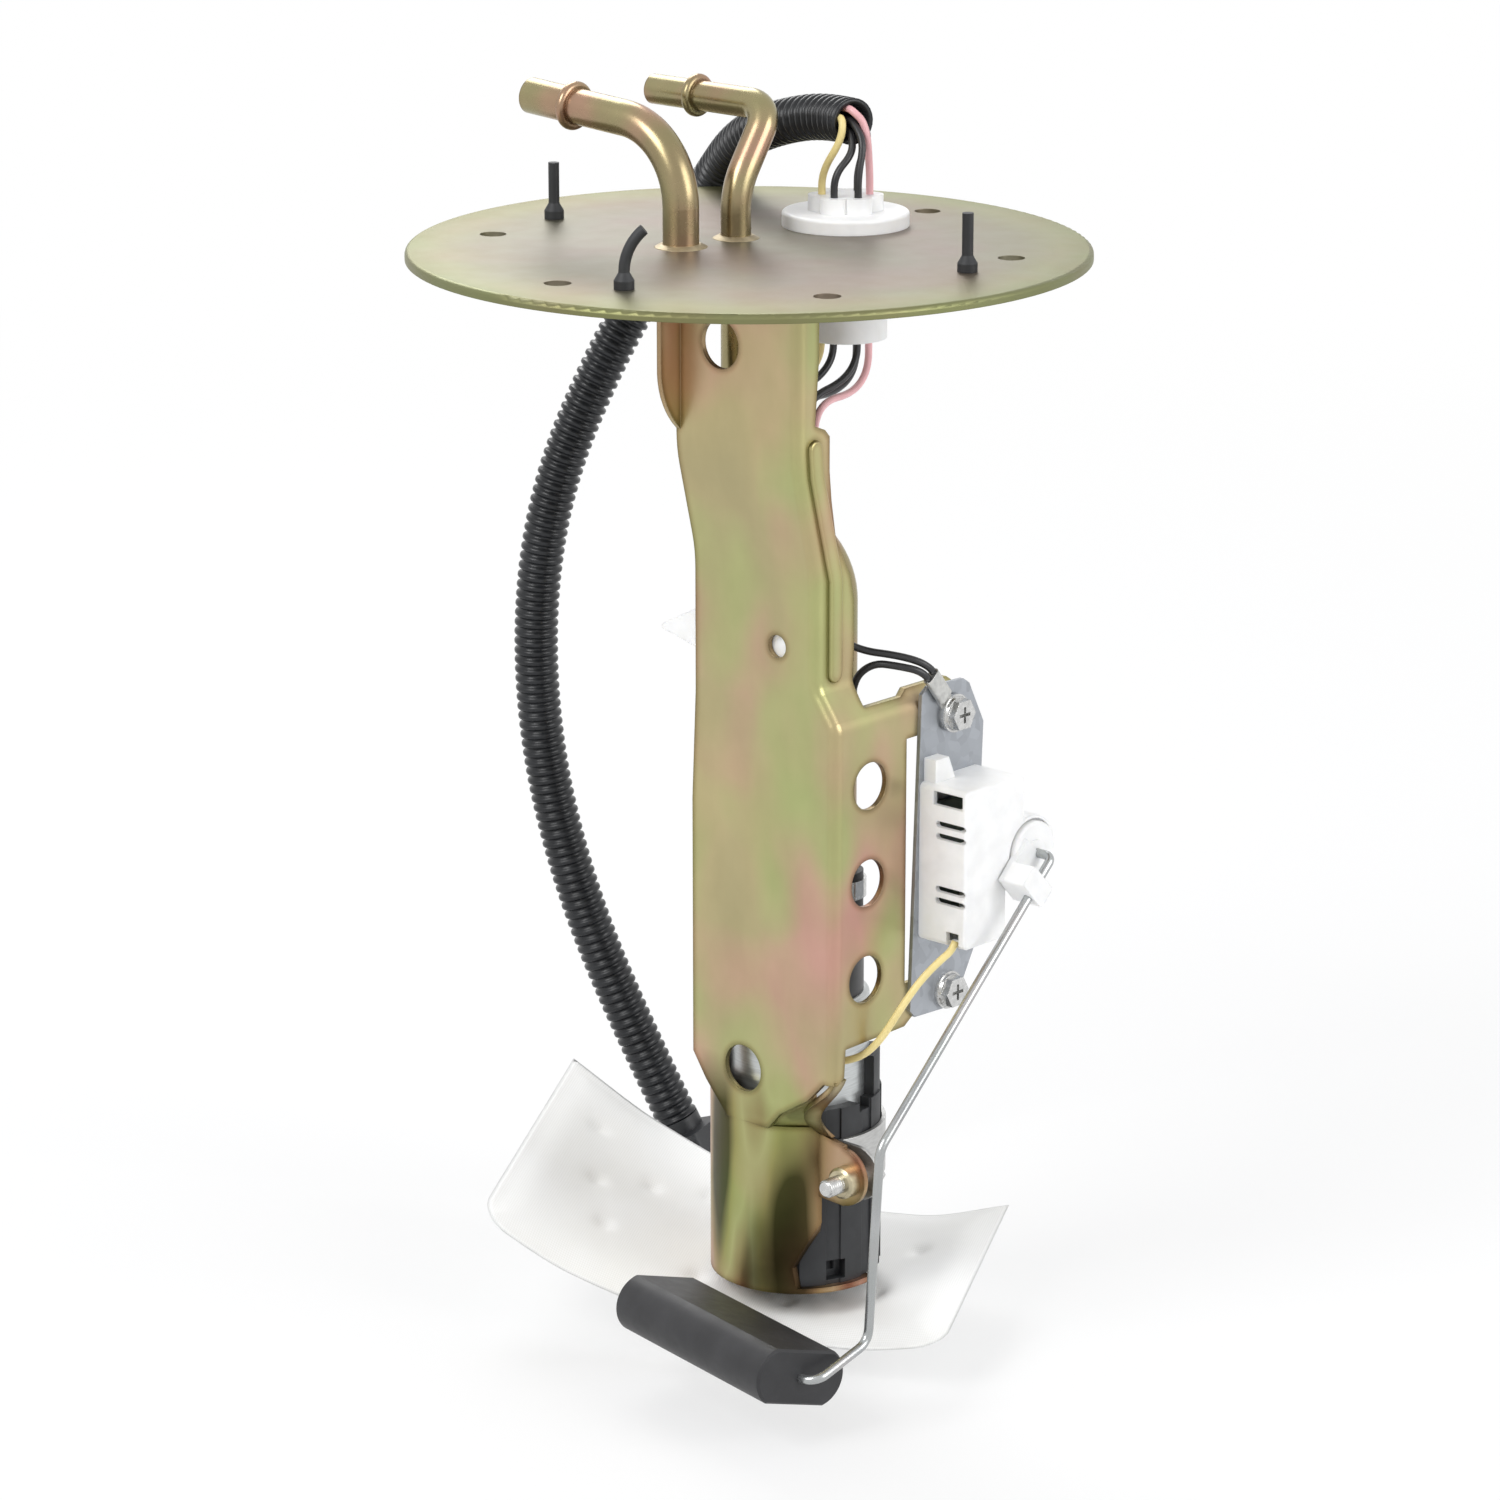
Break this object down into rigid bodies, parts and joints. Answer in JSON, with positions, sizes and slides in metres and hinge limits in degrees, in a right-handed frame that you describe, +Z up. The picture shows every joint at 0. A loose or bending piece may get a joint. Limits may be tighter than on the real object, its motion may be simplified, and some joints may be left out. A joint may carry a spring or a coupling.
{
  "type": "in-tank fuel pump module",
  "caption": "Tank flange with two fuel tubes and a wire grommet, carrying a bent hanger with a fuel pump, strainer sock and swinging float level sender.",
  "frame": {"origin": "centre of the flange's bolt circle, in the plane of the flange's flat underside", "axes": "+Z up out of the tank along the flange's axis; the hose tubes point to -X; the level sender sits on the +X side of the hanger; the hanger's wide web faces -Y"},
  "size_m": [0.2039, 0.178, 0.3356],
  "materials": {
    "flange_zinc": "satin zinc plate with a yellow-green chromate rim",
    "bracket_zinc": "yellow chromate zinc plate with an iridescent cast",
    "tube_zinc": "yellow chromate zinc plate",
    "braze": "bare braze filler",
    "white_nylon": "moulded, slightly glossy",
    "lock_nylon": "moulded",
    "black_rubber": "matte moulded rubber",
    "hose_rubber": "ribbed fuel hose",
    "bright_steel": "bright zinc plate",
    "strap_steel": "light grey bare strap",
    "nut_brass": "yellow plated nut",
    "can_steel": "drawn can, satin",
    "cap_black": "moulded end cap",
    "sock_nylon": "fine woven nylon mesh, sealed border",
    "plate_steel": "grey zinc plate",
    "card_ceramic": "resistor card",
    "spring_copper": "spring blade",
    "arm_steel": "drawn wire, zinc plated",
    "float_foam": "closed-cell nitrile foam, fine grained skin",
    "loom_black": "corrugated convoluted sleeve",
    "connector_black": "moulded connector",
    "insulation_yellow": "wire insulation",
    "insulation_pink": "wire insulation",
    "insulation_black": "wire insulation",
    "tinned": "tinned terminal"
  },
  "bodies": {
    "module": {"flange_plate": "flange_zinc", "supply_tube": "tube_zinc", "return_tube": "tube_zinc", "braze_rings": "braze", "wire_grommet": "white_nylon", "grommet_lock": "lock_nylon", "rubber_retainers": "black_rubber", "hanger_bracket": "bracket_zinc", "clamp_strap": "strap_steel", "clamp_bolt": "bright_steel", "clamp_nut": "nut_brass", "isolator_sleeve": "black_rubber", "pump_can": "can_steel", "pump_end_cap": "cap_black", "fuel_hose": "hose_rubber", "hose_clamps": "bright_steel", "strainer_neck": "cap_black", "strainer_sock": "sock_nylon", "sender_plate": "plate_steel", "ring_terminal": "tinned", "sender_screws": "bright_steel", "sender_nuts": "bright_steel", "sender_housing": "white_nylon", "sender_card": "card_ceramic", "wire_loom": "loom_black", "loom_connector": "connector_black", "wire_yellow": "insulation_yellow", "wire_pink": "insulation_pink", "wire_pump_ground": "insulation_black", "wire_splice": "insulation_black", "wire_plate_ground": "insulation_black", "wire_jumper": "insulation_black", "lead_splice": "connector_black", "cable_tie": "white_nylon"},
    "float_set": {"sender_rotor": "white_nylon", "sender_wiper": "spring_copper", "float_arm": "arm_steel", "float": "float_foam"}
  },
  "joints": [
    {"name": "float_pivot", "type": "hinge", "parent": "module", "child": "float_set", "pos_m": [0.06, 0.044, -0.1592], "axis": [1, 0, 0], "range_deg": [-70, 0]}
  ]
}
